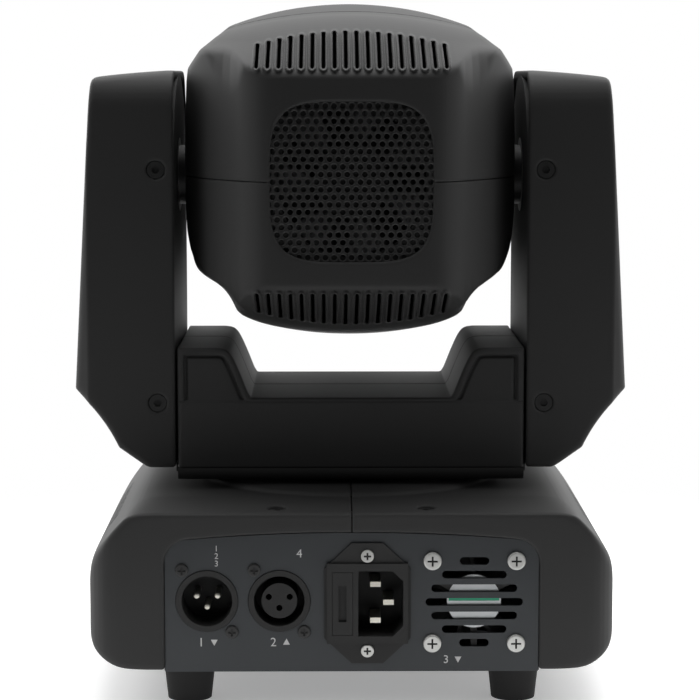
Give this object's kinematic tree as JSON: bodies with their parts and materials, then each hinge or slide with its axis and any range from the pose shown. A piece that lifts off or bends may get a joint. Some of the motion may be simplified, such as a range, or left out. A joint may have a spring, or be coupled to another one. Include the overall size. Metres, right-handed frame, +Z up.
{
  "type": "moving head light",
  "caption": "Moving head stage light: squat base with connector panel, turning yoke with covered arms, and a tilting head with a round front lens.",
  "frame": {"origin": "on the pan axis, at the underside of the rubber feet", "axes": "+Z up along the pan axis, +X along the tilt axis, +Y from the connector panel towards the lens at rest"},
  "size_m": [0.2188, 0.172, 0.2728],
  "materials": {
    "moulded_black": "fine textured black moulding",
    "panel_steel": "black powder coat",
    "chassis_steel": "black powder coat",
    "foot_rubber": "matt rubber",
    "dark_screw": "black oxide",
    "zinc_screw": "zinc plated",
    "socket_plastic": "smooth black moulding",
    "contact_metal": "nickel plated",
    "bright_steel": "ground",
    "motor_body": "black laminations and end caps",
    "belt_rubber": "ribbed rubber",
    "circuit_board": "green solder mask",
    "window_glass": "smoked clear plastic",
    "fuse_glass": "clear tube",
    "button_plastic": "grey moulding",
    "pulley_aluminium": "machined",
    "lens_glass": "polished and coated",
    "grille_steel": "perforated sheet, black"
  },
  "bodies": {
    "base": {"bottom_plate": "panel_steel", "rear_panel": "panel_steel", "top_plate": "chassis_steel", "base_cover_left": "moulded_black", "base_cover_right": "moulded_black", "rubber_feet": "foot_rubber", "base_screws": "dark_screw", "dmx_in_socket": "socket_plastic", "dmx_in_pins": "contact_metal", "dmx_out_socket": "socket_plastic", "power_inlet": "socket_plastic", "inlet_pins": "contact_metal", "base_fan_frame": "socket_plastic", "panel_screws": "zinc_screw", "pan_bearing": "bright_steel", "pan_motor": "motor_body", "pan_belt": "belt_rubber", "power_supply": "circuit_board", "control_board": "circuit_board", "display_panel": "panel_steel", "display_window": "window_glass"},
    "fuse_tray": {"fuse_drawer": "socket_plastic", "fuse": "fuse_glass"},
    "base_fan": {"base_fan_rotor": "socket_plastic"},
    "menu_key": {"menu_button": "button_plastic"},
    "down_key": {"down_button": "button_plastic"},
    "up_key": {"up_button": "button_plastic"},
    "enter_key": {"enter_button": "button_plastic"},
    "pan_pinion": {"pan_motor_pulley": "pulley_aluminium"},
    "yoke": {"yoke_plate": "chassis_steel", "pan_shaft": "bright_steel", "pan_pulley": "pulley_aluminium", "crossbar_tray": "moulded_black", "crossbar_cover": "moulded_black", "arm_plate_left": "moulded_black", "arm_plate_right": "moulded_black", "arm_cover_left": "moulded_black", "arm_cover_right": "moulded_black", "arm_screws": "dark_screw", "tilt_bearings": "bright_steel", "tilt_motor": "motor_body", "tilt_belt": "belt_rubber"},
    "tilt_pinion": {"tilt_motor_pulley": "pulley_aluminium"},
    "head": {"head_shell_upper": "moulded_black", "head_shell_lower": "moulded_black", "front_bezel": "moulded_black", "front_lens": "lens_glass", "head_grille": "grille_steel", "head_frame": "chassis_steel", "trunnions": "bright_steel", "tilt_pulley": "pulley_aluminium", "heatsink": "pulley_aluminium", "led_board": "circuit_board", "head_fan_frame": "socket_plastic", "wheel_motors": "motor_body"},
    "head_fan": {"head_fan_rotor": "socket_plastic"},
    "colour_disc": {"colour_wheel": "pulley_aluminium"},
    "gobo_disc": {"gobo_wheel": "pulley_aluminium"}
  },
  "joints": [
    {"name": "pan", "type": "hinge", "parent": "base", "child": "yoke", "pos_m": [0, 0, 0.08], "axis": [0, 0, 1], "range_deg": [-270, 270]},
    {"name": "tilt", "type": "hinge", "parent": "yoke", "child": "head", "pos_m": [0, 0, 0.2005], "axis": [1, 0, 0], "range_deg": [-5, 185]},
    {"name": "pan_motor_spin", "type": "hinge", "parent": "base", "child": "pan_pinion", "pos_m": [0.044, 0.036, 0.07], "axis": [0, 0, 1], "range_deg": [-1090, 1090]},
    {"name": "tilt_motor_spin", "type": "hinge", "parent": "yoke", "child": "tilt_pinion", "pos_m": [0.0945, 0, 0.1425], "axis": [1, 0, 0], "range_deg": [-30, 750]},
    {"name": "fuse_slide", "type": "slide", "parent": "base", "child": "fuse_tray", "axis": [0, -1, 0], "range_m": [0, 0.02]},
    {"name": "base_fan_spin", "type": "hinge", "parent": "base", "child": "base_fan", "pos_m": [0.0467, -0.077, 0.041], "axis": [0, 1, 0], "continuous": true},
    {"name": "head_fan_spin", "type": "hinge", "parent": "head", "child": "head_fan", "pos_m": [0, -0.064, 0.2005], "axis": [0, 1, 0], "continuous": true},
    {"name": "colour_wheel_spin", "type": "hinge", "parent": "head", "child": "colour_disc", "pos_m": [0, -0.018, 0.2245], "axis": [0, 1, 0], "continuous": true},
    {"name": "gobo_wheel_spin", "type": "hinge", "parent": "head", "child": "gobo_disc", "pos_m": [0, -0.01, 0.1765], "axis": [0, 1, 0], "continuous": true},
    {"name": "menu_press", "type": "slide", "parent": "base", "child": "menu_key", "axis": [0, -1, 0], "range_m": [0, 0.0012], "stiffness_N_per_m": 400},
    {"name": "down_press", "type": "slide", "parent": "base", "child": "down_key", "axis": [0, -1, 0], "range_m": [0, 0.0012], "stiffness_N_per_m": 400},
    {"name": "up_press", "type": "slide", "parent": "base", "child": "up_key", "axis": [0, -1, 0], "range_m": [0, 0.0012], "stiffness_N_per_m": 400},
    {"name": "enter_press", "type": "slide", "parent": "base", "child": "enter_key", "axis": [0, -1, 0], "range_m": [0, 0.0012], "stiffness_N_per_m": 400}
  ],
  "couplings": [
    {"joint": "pan_motor_spin", "follows": "pan", "ratio": 4},
    {"joint": "tilt_motor_spin", "follows": "tilt", "ratio": 4}
  ]
}
